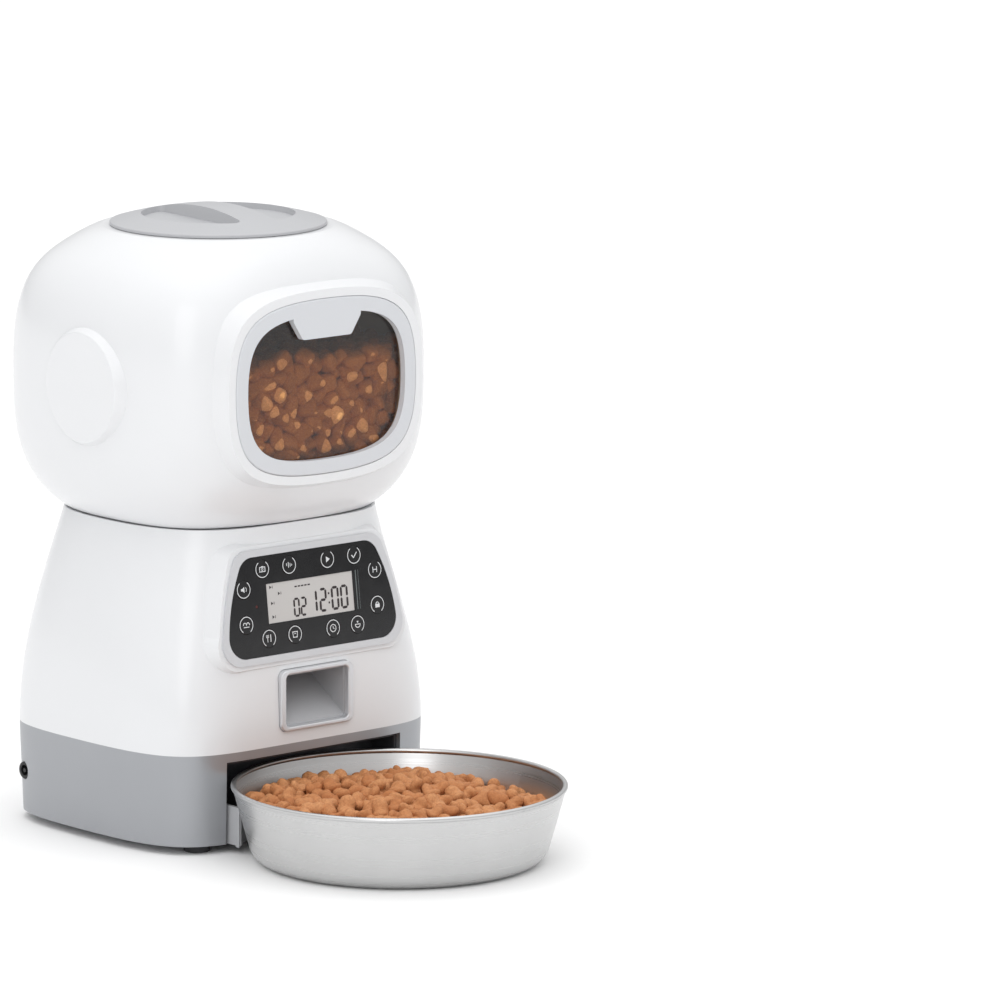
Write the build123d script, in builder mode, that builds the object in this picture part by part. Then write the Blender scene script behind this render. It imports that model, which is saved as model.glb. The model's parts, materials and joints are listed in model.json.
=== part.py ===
"""Automatic pet feeder: a round-headed hopper on a flared body, with a steel bowl in front.

Millimetres, +Z up, front towards -Y. The origin is on the surface that the feeder stands on, under
the middle of the whole outline. HOUSE_Y is where the housing's upright axis stands, and every
helper plane below is measured from that axis.
"""
from build123d import *
from math import acos, cos, pi, radians, sin, tan
import os

os.makedirs("parts", exist_ok=True)

# ---- driving dimensions ------------------------------------------------------------------------
WALL = 2.6                      # moulded shells
FIT = 0.3                       # clear gap between pieces that move past each other

HEAD_A, HEAD_B, HEAD_C = 95.0, 86.4, 80.0    # half width, half depth and half height of the head
HEAD_Z = 226.0                  # height of the head's widest section
HEAD_BOTTOM = 159.2
HEAD_TOP = 299.5
SEAM_Y = -30.0                  # front and rear head shells meet here

NECK_Z = 158.6                  # top edge of the body shell
SEAM_Z = 50.0                   # body shell stands on the base here
BASE_Z = 4.3                    # underside of the base, lifted by its feet
NECK_A, NECK_B = 72.5, 65.0     # half sizes of the body at the neck
FOOT_A, FOOT_B = 90.2, 75.0     # half sizes of the body at the base seam
NECK_FLAT, FOOT_FLAT = 20.0, 38.0            # half widths of the flat strip down the front

WINDOW_Y = -84.0                # front face of the window frame
WINDOW_Z = 228.3
WINDOW_W, WINDOW_H = 115.0, 87.0
WINDOW_RING = 7.2               # visible width of the window frame

LID_R = 54.0
LID_RISE = 7.6                  # height of the lid's dome over its rim
BAR_W = 16.0                    # grip bar across the lid
BAR_TURN = 6.0                  # degrees that the bar is turned from straight fore and aft
COLLAR_R = 46.5                 # clear radius of the fill opening

PANEL_Y, PANEL_Z, PANEL_TILT = -71.4, 120.0, 6.9
LENS_T = 2.4                    # thickness of the gloss lens
KEY_R = 4.6

CHUTE_W = 39.0                  # inside width of the food chute
ROTOR_Y = 18.0                  # axis of the portion rotor, behind the housing axis
ROTOR_R = 40.6
CHAMBER_R = 42.0
CHAMBER_FLOOR = 116.5
CHAMBER_TOP = 152.5

BOWL_R = 82.6
BOWL_H = 38.5
BOWL_FRONT = 138.7              # bowl centre to the housing axis
BAY_HALF = 56.0                 # half width of the bowl bay
BAY_TOP = 45.5
BAY_BACK = -52.5

HOUSE_Y = (BOWL_FRONT + BOWL_R - HEAD_B) / 2
BOWL_Y = HOUSE_Y - BOWL_FRONT

# key names with their places on the panel, right and up from its centre
KEYS = {
    "record": (-29.5, 18.4),
    "voice": (-12.3, 18.4),
    "play": (12.3, 18.4),
    "power": (29.5, 18.4),
    "volume": (-42.2, 9.7),
    "delete": (-42.2, -7.8),
    "reset": (42.2, 9.7),
    "lock": (42.2, -7.8),
    "meal_count": (-28.5, -16.0),
    "meal_size": (-11.9, -16.0),
    "clock": (12.6, -16.0),
    "feed_now": (28.5, -16.0),
}
CELL_R, CELL_L = 16.4, 61.0     # one size D cell
CELL_XS = (-35.0, 0.0, 35.0)
CELL_Z = 25.2
FEET = ((-63.5, -59.5), (63.5, -59.5), (-63.5, 59.5), (63.5, 59.5))

MODULE = 0.8                    # gear tooth size
WHEEL_TEETH, SMALL_TEETH, PINION_TEETH = 36, 12, 10
AXIS_OUT = (0.0, ROTOR_Y)
STEP_12 = MODULE * (WHEEL_TEETH + SMALL_TEETH) / 2
STEP_10 = MODULE * (WHEEL_TEETH + PINION_TEETH) / 2
AXIS_A = (STEP_12 / 2, ROTOR_Y + STEP_12 * sin(pi / 3))
AXIS_B = (-STEP_12 / 2, AXIS_A[1])
AXIS_M = (AXIS_B[0] - STEP_10, AXIS_B[1])
GEAR_Z1, GEAR_Z2, GEAR_Z3 = 98.5, 93.0, 88.0
GEAR_T = 3.6
BOX_X0, BOX_X1, BOX_Y0, BOX_Y1 = -36.0, 28.0, 0.6, 52.6
BOX_Z0, BOX_SPLIT, BOX_Z1 = 84.0, 97.2, 112.0
JACK_X, JACK_Y, JACK_Z = 84.6, 51.0, 25.4    # face of the power inlet
PIN_R = 1.5                     # fixed gear pins


# ---- helper planes and outlines ------------------------------------------------------------------
def level(z, x=0.0, y=0.0):
    """Horizontal sketch plane, centred on the housing axis."""
    return Plane((x, HOUSE_Y + y, z))


def facing(y, x=0.0, z=0.0):
    """Upright sketch plane that faces the front: right is +X and up is +Z."""
    return Plane((x, HOUSE_Y + y, z), x_dir=(1, 0, 0), z_dir=(0, -1, 0))


def side(x, y=0.0, z=0.0):
    """Upright sketch plane that faces +X: right is +Y and up is +Z."""
    return Plane((x, HOUSE_Y + y, z), x_dir=(0, 1, 0), z_dir=(1, 0, 0))


def panel(depth=0.0):
    """Sketch plane of the tilted control panel; depth is measured outwards."""
    tilt = radians(PANEL_TILT)
    face = Plane((0, HOUSE_Y + PANEL_Y, PANEL_Z), x_dir=(1, 0, 0), z_dir=(0, -cos(tilt), sin(tilt)))
    return face.offset(depth)


PANEL_OUT = Axis(panel().origin, panel().z_dir)


def closed_round(half_x, half_y, fullness, flat=0.0, rear=None):
    """Round-cornered outline of four bent quarters, with a straight stretch of 2 x flat in front.

    A fullness of 0.55 gives an ellipse and one of 0.95 nearly a rectangle. The rear half may have
    a fullness of its own.
    """
    reach = flat + fullness * (half_x - flat)
    rear = rear or fullness
    with BuildLine() as edge:
        Bezier((half_x, 0), (half_x, rear * half_y), (rear * half_x, half_y), (0, half_y))
        Bezier((0, half_y), (-rear * half_x, half_y), (-half_x, rear * half_y), (-half_x, 0))
        Bezier((-half_x, 0), (-half_x, -fullness * half_y), (-reach, -half_y), (-flat, -half_y))
        if flat > 0:
            Line((-flat, -half_y), (flat, -half_y))
        Bezier((flat, -half_y), (reach, -half_y), (half_x, -fullness * half_y), (half_x, 0))
    make_face(edge.edges())


def head_section(z, inset):
    """Half width, half depth and fullness of the head at height z, drawn in by inset."""
    height = (z - HEAD_Z) / (HEAD_C - inset)
    scale = (1 - abs(height) ** 3) ** (1 / 3)
    crown = max(0.0, (z - 272.0) / (HEAD_TOP - 272.0)) ** 2
    deep = HEAD_B + crown * (HEAD_A - HEAD_B)
    return (HEAD_A - inset) * scale, (deep - inset) * scale, 0.783 - 0.22 * crown


def head_form(inset, bottom, top, mode=Mode.ADD):
    """The head's rounded solid, lofted through level sections."""
    sections = []
    for z in (bottom, 163, 168, 176, 188, 206, 226, 246, 264, 277, 287, 294, top):
        with BuildSketch(level(z)) as section:
            closed_round(*head_section(z, inset))
        sections.append(section.sketch.face())
    loft(sections, mode=mode)


def body_section(z, inset):
    """Half width, half depth, fullness, front flat and rear fullness of the body at height z."""
    flare = sin(pi / 2 * (NECK_Z - z) / (NECK_Z - SEAM_Z))
    half_x = NECK_A + (FOOT_A - NECK_A) * flare - inset
    half_y = NECK_B + (FOOT_B - NECK_B) * flare - inset
    flat = NECK_FLAT + (FOOT_FLAT - NECK_FLAT) * flare ** 2 - inset
    return half_x, half_y, 0.70 + 0.14 * flare ** 2, flat, 0.775 + 0.16 * flare


def body_form(inset, bottom, top, mode=Mode.ADD):
    """The body's flared solid."""
    sections = []
    for z in (bottom, 68, 86, 104, 122, 140, top):
        with BuildSketch(level(z)) as section:
            closed_round(*body_section(z, inset))
        sections.append(section.sketch.face())
    loft(sections, mode=mode)


def base_form(inset, bottom, top, mode=Mode.ADD):
    """The base: nearly upright, drawn in a little towards its foot."""
    sections = []
    for z, draft in ((bottom, 1.6), (top, 0.0)):
        with BuildSketch(level(z)) as section:
            closed_round(FOOT_A - inset - draft, FOOT_B - inset - draft * 0.6, 0.84,
                         FOOT_FLAT - inset, 0.935)
        sections.append(section.sketch.face())
    loft(sections, mode=mode)


def window_outline(grow):
    """The window frame's outer outline, grown or shrunk."""
    closed_round(WINDOW_W / 2 + grow, WINDOW_H / 2 + grow, 0.80)


def panel_outline(grow):
    """The control panel's outline: wider below, bulging to its widest a third of the way up."""
    with BuildLine() as edge:
        top, low, foot = 25.0 + grow, -12.5, -24.6 - grow
        Line((-36 - grow, top), (36 + grow, top))
        ThreePointArc((36 + grow, top), (41.5 + grow, top - 1.9), (44.6 + grow, top - 6.0))
        ThreePointArc((44.6 + grow, top - 6.0), (50.4 + grow, 4.0), (53.6 + grow, low))
        ThreePointArc((53.6 + grow, low), (50.9 + grow, foot + 3.4), (42 + grow, foot))
        Line((42 + grow, foot), (-42 - grow, foot))
        ThreePointArc((-42 - grow, foot), (-50.9 - grow, foot + 3.4), (-53.6 - grow, low))
        ThreePointArc((-53.6 - grow, low), (-50.4 - grow, 4.0), (-44.6 - grow, top - 6.0))
        ThreePointArc((-44.6 - grow, top - 6.0), (-41.5 - grow, top - 1.9), (-36 - grow, top))
    make_face(edge.edges())


def gear_face(teeth, phase, play=0.16):
    """Involute gear with short teeth, one tooth centred on the angle phase (degrees)."""
    pitch = MODULE * teeth / 2
    base = pitch * cos(radians(20))
    tip = pitch + 0.8 * MODULE
    root = pitch - 1.1 * MODULE

    def half_angle(radius):
        slope = acos(min(1.0, base / radius))
        at_pitch = pi / (2 * teeth) - play / (2 * pitch)
        return at_pitch + (tan(radians(20)) - radians(20)) - (tan(slope) - slope)

    def spot(radius, angle):
        return radius * cos(angle), radius * sin(angle)

    start = max(base, root)
    middle = (start + tip) / 2
    Circle(root + 0.05)
    for number in range(teeth):
        aim = radians(phase + number * 360 / teeth)
        low, half, high = half_angle(start), half_angle(middle), half_angle(tip)
        with BuildLine() as tooth:
            Line(spot(root * 0.9, aim - low), spot(start, aim - low))
            ThreePointArc(spot(start, aim - low), spot(middle, aim - half), spot(tip, aim - high))
            Line(spot(tip, aim - high), spot(tip, aim + high))
            ThreePointArc(spot(tip, aim + high), spot(middle, aim + half), spot(start, aim + low))
            Line(spot(start, aim + low), spot(root * 0.9, aim + low))
            Line(spot(root * 0.9, aim + low), spot(root * 0.9, aim - low))
        make_face(tooth.edges())


def block(x0, x1, y0, y1, z0, z1, mode=Mode.ADD):
    """A box between two corners, measured from the housing axis."""
    with BuildSketch(level(z0, (x0 + x1) / 2, (y0 + y1) / 2)) as plan:
        Rectangle(x1 - x0, y1 - y0)
    extrude(plan.sketch, amount=z1 - z0, mode=mode)


def post(x, y, z0, z1, radius, mode=Mode.ADD):
    """An upright round post or hole, measured from the housing axis."""
    with BuildSketch(level(z0, x, y)) as plan:
        Circle(radius)
    extrude(plan.sketch, amount=z1 - z0, mode=mode)


def save(name, label):
    name.part.label = label
    export_step(name.part, f"parts/{label}.step")


# ---- head ----------------------------------------------------------------------------------------
def head_shell(front):
    """One of the two head shells, cut from the same hollow form."""
    with BuildPart() as cavity:
        head_form(WALL, HEAD_BOTTOM - 0.5, HEAD_TOP + 0.3)
        if front:
            # material left behind the window frame's pocket
            with BuildSketch(facing(WINDOW_Y + 8.4, z=WINDOW_Z)):
                window_outline(2.4)
            extrude(amount=20, mode=Mode.SUBTRACT)
    with BuildPart() as shell:
        head_form(0.0, HEAD_BOTTOM, HEAD_TOP)
        if front:
            # soft pad that carries the flat window frame on the curved face
            with BuildSketch(facing(WINDOW_Y + 0.5, z=WINDOW_Z)):
                window_outline(4.5)
            with BuildSketch(facing(WINDOW_Y + 16, z=WINDOW_Z)):
                window_outline(12.0)
            loft()
            with BuildSketch(facing(WINDOW_Y + 5.8, z=WINDOW_Z)):
                window_outline(0.2)
            extrude(amount=12, mode=Mode.SUBTRACT)
        add(cavity.part, mode=Mode.SUBTRACT)
        post(0, 0, 280, HEAD_TOP + 5, COLLAR_R + 3.1, mode=Mode.SUBTRACT)
        if front:
            with BuildSketch(facing(WINDOW_Y + 30, z=WINDOW_Z)):
                window_outline(-4.0)
            extrude(amount=60, mode=Mode.SUBTRACT)
            block(-120, 120, SEAM_Y, 120, 140, 320, mode=Mode.SUBTRACT)
        else:
            block(-120, 120, -120, SEAM_Y, 140, 320, mode=Mode.SUBTRACT)
    return shell


head_front_shell = head_shell(front=True)
save(head_front_shell, "head_front_shell")
head_rear_shell = head_shell(front=False)
save(head_rear_shell, "head_rear_shell")

EAR_Y, EAR_Z, EAR_X = -10.0, 228.3, 96.2
with BuildPart() as ear_caps:
    for hand in (-1, 1):
        for reach, radius in ((86.0, 34.0), (EAR_X, 27.2)):
            with BuildSketch(side(hand * reach, EAR_Y, EAR_Z)):
                Circle(radius)
        loft()
        fillet(ear_caps.edges().sort_by(Axis.X)[-1 if hand > 0 else 0], 1.2)
        # notch at the lower front of the rim
        with BuildSketch(side(hand * 80, EAR_Y - 20.5, EAR_Z - 25.5)):
            Circle(1.7)
        extrude(amount=hand * 30, mode=Mode.SUBTRACT)
    head_form(0.0, HEAD_BOTTOM, HEAD_TOP, mode=Mode.SUBTRACT)
save(ear_caps, "ear_caps")

with BuildPart() as window_frame:
    with BuildSketch(facing(WINDOW_Y + 3.5, z=WINDOW_Z)):
        window_outline(0.0)
    extrude(amount=3.5)
    fillet(window_frame.faces().sort_by(Axis.Y)[0].edges(), 0.9)
    with BuildSketch(facing(WINDOW_Y + 4, z=WINDOW_Z)) as opening:
        window_outline(-WINDOW_RING)
        with BuildLine():
            # tab that hangs from the middle of the top edge
            Polyline((-22, 50), (-21.4, 33.5), (-15.4, 24.2), (15.4, 24.2), (21.4, 33.5), (22, 50),
                     (-22, 50))
        make_face(mode=Mode.SUBTRACT)
        fillet(opening.vertices().group_by(Axis.Y)[-3], 2.2)
    extrude(amount=6, mode=Mode.SUBTRACT)
save(window_frame, "window_frame")

with BuildPart() as window_pane:
    with BuildSketch(facing(WINDOW_Y + 5.8, z=WINDOW_Z)):
        window_outline(-0.1)
    extrude(amount=2.2)
save(window_pane, "window_pane")

LUG_TURN = 25.0                 # how far the lid turns to lock
LUG_ANGLES = (45.0, 165.0, 285.0)
with BuildPart() as fill_collar:
    post(0, 0, 278, HEAD_TOP, COLLAR_R + 3.0)
    post(0, 0, 278, 279.8, COLLAR_R + 5.0)
    post(0, 0, 277, HEAD_TOP + 1, COLLAR_R, mode=Mode.SUBTRACT)
    for angle in LUG_ANGLES:
        # upright way in for a lug, and the level run that it turns into
        with Locations(Location((0, HOUSE_Y, 288.4), (0, 0, angle))):
            with Locations((COLLAR_R, 0, 6)):
                Box(4.4, 8.4, 18, mode=Mode.SUBTRACT)
        with BuildSketch(level(286.0)):
            with BuildLine():
                CenterArc((0, 0), COLLAR_R - 1, angle - 5, LUG_TURN + 10)
                CenterArc((0, 0), COLLAR_R + 2.2, angle - 5, LUG_TURN + 10)
                for end in (angle - 5, angle + 5 + LUG_TURN):
                    Line(Vector(COLLAR_R - 1, 0).rotate(Axis.Z, end),
                         Vector(COLLAR_R + 2.2, 0).rotate(Axis.Z, end))
            make_face()
        extrude(amount=4.0, mode=Mode.SUBTRACT)
save(fill_collar, "fill_collar")

FUNNEL_TOP = 188.0
THROAT_R = 40.4
with BuildPart() as hopper_funnel:
    for grow, foot_z, foot_r, mode in ((0.0, 163.0, 41.6, Mode.ADD), (-2.0, 162.0, 39.0, Mode.SUBTRACT)):
        with BuildSketch(level(FUNNEL_TOP, y=2.5)):
            closed_round(85.0 + grow, 74.0 + grow, 0.783)
        with BuildSketch(level(176, y=3)):
            closed_round(70.5 + grow, 63.0 + grow, 0.74)
        with BuildSketch(level(foot_z, y=6)):
            closed_round(foot_r, foot_r, 0.5523)
        loft(ruled=True, mode=mode)
        if mode == Mode.ADD:
            post(0, 6, 156.0, 165.0, THROAT_R + 2)
    post(0, 6, 155.0, 166.0, THROAT_R, mode=Mode.SUBTRACT)
save(hopper_funnel, "hopper_funnel")

# ---- lid -----------------------------------------------------------------------------------------
DOME_R = (LID_R ** 2 + LID_RISE ** 2) / (2 * LID_RISE)
LID_Z = HEAD_TOP + FIT          # underside of the lid's rim
with BuildPart() as lid:
    with BuildSketch(Plane((0, HOUSE_Y, 0), x_dir=(1, 0, 0), z_dir=(0, -1, 0))):
        with BuildLine():
            Polyline((0, LID_Z), (LID_R, LID_Z), (LID_R, LID_Z + 1.4))
            RadiusArc((LID_R, LID_Z + 1.4), (0, LID_Z + 1.4 + LID_RISE), -DOME_R)
            Line((0, LID_Z + 1.4 + LID_RISE), (0, LID_Z))
        make_face()
    revolve(axis=Axis((0, HOUSE_Y, 0), (0, 0, 1)))
    fillet(lid.edges().filter_by(lambda edge: edge.is_closed).group_by(Axis.Z)[-1], 0.6)
    # two finger scoops leave the grip bar between them
    for turn in (0, 180):
        with BuildSketch(level(LID_Z + LID_RISE + 4)) as scoop:
            with Locations(Location((0, 0, 0), (0, 0, -BAR_TURN + turn))):
                Circle(40)
                with Locations((-50 + BAR_W / 2, 0)):
                    Rectangle(100, 100, mode=Mode.SUBTRACT)
            fillet(scoop.vertices(), 5)
        extrude(amount=-(LID_RISE + 1.6), taper=14, mode=Mode.SUBTRACT)
    # skirt that drops into the collar, with its turning lugs
    post(0, 0, 283.5, LID_Z + 0.2, COLLAR_R - 0.5)
    post(0, 0, 283.0, LID_Z - 0.0, COLLAR_R - 2.5, mode=Mode.SUBTRACT)
    for angle in LUG_ANGLES:
        with Locations(Location((0, HOUSE_Y, 288.0), (0, 0, angle))):
            with Locations((COLLAR_R - 0.1, 0, 0)):
                Box(3.2, 6.0, 2.6)
    # groove for the seal
    with BuildSketch(level(LID_Z - 1)):
        Circle(52.9)
        Circle(50.0, mode=Mode.SUBTRACT)
    extrude(amount=1.9, mode=Mode.SUBTRACT)
    # seat of the desiccant box
    with BuildSketch(level(LID_Z - 2.0)):
        Circle(30)
        Circle(28.2, mode=Mode.SUBTRACT)
    extrude(amount=2.0)
save(lid, "lid")

with BuildPart() as lid_seal:
    with BuildSketch(level(HEAD_TOP + 0.05)):
        Circle(52.6)
        Circle(50.3, mode=Mode.SUBTRACT)
    extrude(amount=0.9)
save(lid_seal, "lid_seal")

with BuildPart() as desiccant_box:
    post(0, 0, 286.0, LID_Z, 28.0)
    post(0, 0, 285.0, LID_Z - 1.6, 26.4, mode=Mode.SUBTRACT)
save(desiccant_box, "desiccant_box")

with BuildPart() as desiccant_bag:
    post(0, 0, 287.6, 296.5, 24.5)
    fillet(desiccant_bag.edges(), 3.0)
save(desiccant_bag, "desiccant_bag")

with BuildPart() as desiccant_cap:
    post(0, 0, 283.4, 285.6, 29.6)
    post(0, 0, 285.6, 291.0, 29.6)
    post(0, 0, 285.6, 292.0, 28.3, mode=Mode.SUBTRACT)
    with BuildSketch(level(283)):
        with PolarLocations(15, 12):
            SlotCenterToCenter(10, 2.4)
    extrude(amount=3, mode=Mode.SUBTRACT)
save(desiccant_cap, "desiccant_cap")

# ---- portion rotor and chute ---------------------------------------------------------------------
with BuildPart() as rotor_chamber:
    with BuildSketch(level(CHAMBER_TOP - 2.5)):
        closed_round(NECK_A - 4.6, NECK_B - 3.0, 0.70, NECK_FLAT, 0.775)
    extrude(amount=2.5)
    post(0, ROTOR_Y, CHAMBER_FLOOR - 2.5, CHAMBER_TOP, CHAMBER_R + 2.2)
    post(0, ROTOR_Y, CHAMBER_FLOOR, CHAMBER_TOP + 1, CHAMBER_R, mode=Mode.SUBTRACT)
    block(-19, 19, -23, -3, CHAMBER_FLOOR - 5, CHAMBER_FLOOR + 1, mode=Mode.SUBTRACT)
    post(0, ROTOR_Y, CHAMBER_FLOOR - 5, CHAMBER_FLOOR + 1, 3.4, mode=Mode.SUBTRACT)
save(rotor_chamber, "rotor_chamber")

with BuildPart() as rotor:
    post(0, ROTOR_Y, CHAMBER_FLOOR + 0.5, 148.0, 9.0)
    for number in range(6):
        with Locations(Location((0, HOUSE_Y + ROTOR_Y, 0), (0, 0, 60.0 * number))):
            with Locations((ROTOR_R / 2, 0, (CHAMBER_FLOOR + 0.8 + 147.0) / 2)):
                Box(ROTOR_R, 2.6, 147.0 - CHAMBER_FLOOR - 0.8)
    post(0, ROTOR_Y, CHAMBER_FLOOR, 130.0, 3.02, mode=Mode.SUBTRACT)
save(rotor, "portion_rotor")

with BuildPart() as drop_guard:
    with BuildSketch(level(149.6, y=ROTOR_Y)):
        Circle(CHAMBER_R - 0.2)
        with Locations((0, 30)):
            Rectangle(120, 76, mode=Mode.SUBTRACT)
    extrude(amount=1.8)
    with Locations((0, HOUSE_Y + ROTOR_Y - 9.5, 150.5)):
        Box(78, 3, 2.4)
save(drop_guard, "drop_guard")

with BuildPart() as sweep_lip:
    block(-34, 34, ROTOR_Y - 13.0, ROTOR_Y - 11.2, 147.4, 149.4)
save(sweep_lip, "sweep_lip")

CHUTE_IN = ((-2, 113.5), (-2, 107), (-73, 59.6), (-73, 83.6), (-24, 104), (-24, 113.5))
CHUTE_OUT = ((0, 113.5), (0, 105.8), (-73.2, 57.1), (-73.2, 85.6), (-26, 105.4), (-26, 113.5))
with BuildPart() as chute_duct:
    for points, half, mode in ((CHUTE_OUT, CHUTE_W / 2 + 1.9, Mode.ADD),
                               (CHUTE_IN, CHUTE_W / 2, Mode.SUBTRACT)):
        stretch = 0 if mode == Mode.ADD else 1
        with BuildSketch(side(-half)):
            with BuildLine():
                outline = [(y - stretch if y < -70 else y, z + stretch if z > 113 else z)
                           for y, z in points]
                Polyline(*outline, close=True)
            make_face()
        extrude(amount=2 * half, mode=mode)
save(chute_duct, "chute_duct")

CHUTE_MID, CHUTE_HALF_H = 71.8, 15.4
with BuildPart() as chute_trim:
    with BuildSketch(facing(-73.4, z=CHUTE_MID)):
        RectangleRounded(46.6, 2 * CHUTE_HALF_H, 4.2)
        RectangleRounded(CHUTE_W + 1.0, 26.4, 2.4, mode=Mode.SUBTRACT)
    extrude(amount=3.3)
    fillet(chute_trim.faces().sort_by(Axis.Y)[0].edges(), 0.8)
save(chute_trim, "chute_trim")

# ---- body shell and control panel ----------------------------------------------------------------
with BuildPart() as body_shell:
    body_form(0.0, SEAM_Z, NECK_Z)
    with BuildSketch(panel(-0.9)):
        panel_outline(5.4)
    extrude(amount=-9, taper=-28)
    body_form(WALL, SEAM_Z, NECK_Z, mode=Mode.SUBTRACT)
    with BuildSketch(panel(-12)):
        panel_outline(2.6)
    extrude(amount=20, mode=Mode.SUBTRACT)
    with BuildSketch(facing(-60, z=CHUTE_MID)):
        RectangleRounded(47.0, 2 * CHUTE_HALF_H + 0.4, 4.4)
    extrude(amount=30, mode=Mode.SUBTRACT)
    # sound slots in the rear wall
    with BuildSketch(facing(90, z=84)):
        with GridLocations(0, 5, 1, 5):
            Rectangle(26, 2.0)
    extrude(amount=30, mode=Mode.SUBTRACT)
save(body_shell, "body_shell")

with BuildPart() as panel_bezel:
    with BuildSketch(panel(-4.2)):
        panel_outline(2.4)
    extrude(amount=3.2)
    with BuildSketch(panel(-0.88)):
        panel_outline(3.4)
    extrude(amount=1.08)
    with BuildSketch(panel(0.2)):
        panel_outline(3.4)
    extrude(amount=0.7, taper=40)
    with BuildSketch(panel(-6)):
        panel_outline(0.0)
    extrude(amount=10, mode=Mode.SUBTRACT)
save(panel_bezel, "panel_bezel")

LCD_W, LCD_H, LCD_UP = 55.6, 20.0, 0.9
with BuildPart() as panel_lens:
    with BuildSketch(panel(-LENS_T)):
        panel_outline(-0.15)
        with Locations((0, LCD_UP)):
            Rectangle(LCD_W, LCD_H, mode=Mode.SUBTRACT)
        with Locations(*KEYS.values()):
            Circle(KEY_R + 0.15, mode=Mode.SUBTRACT)
        with Locations((-34.6, 0.4)):
            Circle(0.9, mode=Mode.SUBTRACT)
    extrude(amount=LENS_T)
save(panel_lens, "panel_lens")

BOARD_DEPTH = -10.6
with BuildPart() as lcd_module:
    with BuildSketch(panel(BOARD_DEPTH + 1.7)):
        with Locations((0, LCD_UP)):
            Rectangle(LCD_W + 2.0, LCD_H + 1.2)
    extrude(amount=-BOARD_DEPTH - 1.7 - LENS_T - 0.1)
    with BuildSketch(panel(-LENS_T - 0.2)):
        with Locations((0, LCD_UP)):
            Rectangle(LCD_W - 0.3, LCD_H - 0.3)
    extrude(amount=LENS_T - 0.2)
save(lcd_module, "lcd_module")

with BuildPart() as indicator_led:
    with BuildSketch(panel(BOARD_DEPTH + 1.65)):
        with Locations((-34.6, 0.4)):
            Circle(0.8)
    extrude(amount=-BOARD_DEPTH - 1.75)
save(indicator_led, "indicator_led")

with BuildPart() as control_board:
    with BuildSketch(panel(BOARD_DEPTH)):
        RectangleRounded(96, 43, 3)
    extrude(amount=1.6)
save(control_board, "control_board")

with BuildPart() as key_switches:
    for across, up in KEYS.values():
        with BuildSketch(panel(BOARD_DEPTH + 1.65)):
            with Locations((across, up)):
                Rectangle(6, 6)
        extrude(amount=2.8)
        with BuildSketch(panel(BOARD_DEPTH + 4.45)):
            with Locations((across, up)):
                Circle(1.6)
        extrude(amount=0.6)
save(key_switches, "key_switches")

for key, (across, up) in KEYS.items():
    with BuildPart() as key_cap:
        with BuildSketch(panel(-4.6)):
            with Locations((across, up)):
                Circle(KEY_R + 0.8)
        extrude(amount=1.5)
        with BuildSketch(panel(-3.2)):
            with Locations((across, up)):
                Circle(KEY_R)
        extrude(amount=3.3)
        fillet(key_cap.faces().sort_by(PANEL_OUT)[-1].edges(), 0.25)
    save(key_cap, f"key_{key}")

with BuildPart() as microphone:
    with BuildSketch(panel(BOARD_DEPTH + 1.65)):
        with Locations((-36.5, -16.0)):
            Circle(2.2)
    extrude(amount=2.4)
save(microphone, "microphone")

with BuildPart() as speaker:
    with BuildSketch(facing(67.5, z=84)):
        Circle(17)
    extrude(amount=5)
    with BuildSketch(facing(62.5, z=84)):
        Circle(9)
    extrude(amount=6)
save(speaker, "speaker")

# ---- base ----------------------------------------------------------------------------------------
with BuildPart() as base_shell:
    base_form(0.0, BASE_Z, SEAM_Z)
    base_form(WALL + 0.2, BASE_Z - 1, SEAM_Z + 1, mode=Mode.SUBTRACT)
    block(-BAY_HALF, BAY_HALF, -100, -60, BASE_Z - 2, BAY_TOP, mode=Mode.SUBTRACT)
    with BuildSketch(side(-100, JACK_Y, JACK_Z)):
        Circle(4.6)
    extrude(amount=40, mode=Mode.SUBTRACT)
save(base_shell, "base_shell")

with BuildPart() as bowl_bay:
    block(-BAY_HALF, BAY_HALF, -71.0, BAY_BACK, BASE_Z + 0.2, BAY_TOP)
    block(-BAY_HALF + 1.8, BAY_HALF - 1.8, -80, BAY_BACK - 1.8, BASE_Z - 1, BAY_TOP - 1.8,
          mode=Mode.SUBTRACT)
save(bowl_bay, "bowl_bay")

PLATE_TOP = 7.0
with BuildPart() as base_plate:
    with BuildSketch(level(BASE_Z)):
        closed_round(FOOT_A - 4.7, FOOT_B - 4.1, 0.84, FOOT_FLAT - 3, 0.935)
    extrude(amount=PLATE_TOP - BASE_Z)
    block(-BAY_HALF - 0.2, BAY_HALF + 0.2, -90, BAY_BACK + 0.2, 0, 20, mode=Mode.SUBTRACT)
    block(-53, 53, -7, 59, 0, 20, mode=Mode.SUBTRACT)
    for x, y in FEET:
        post(x, y, 0, 20, 1.7, mode=Mode.SUBTRACT)
save(base_plate, "base_plate")

with BuildPart() as battery_door:
    block(-55, 55, -9, 61, 1.6, BASE_Z - FIT)
    block(-12, 12, 52, 56, 1.0, 2.2, mode=Mode.SUBTRACT)
    fillet(battery_door.edges().filter_by(Axis.Z).group_by(Axis.X)[0], 3)
    fillet(battery_door.edges().filter_by(Axis.Z).group_by(Axis.X)[-1], 3)
save(battery_door, "battery_door")

with BuildPart() as battery_cells:
    for x in CELL_XS:
        with BuildSketch(facing(56.0, x, CELL_Z)):
            Circle(CELL_R)
        extrude(amount=CELL_L - 2)
        with BuildSketch(facing(57.4, x, CELL_Z)):
            Circle(4.8)
        extrude(amount=2)
    fillet(battery_cells.edges().filter_by(GeomType.CIRCLE).group_by(SortBy.RADIUS)[-1], 1.0)
save(battery_cells, "battery_cells")

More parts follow.
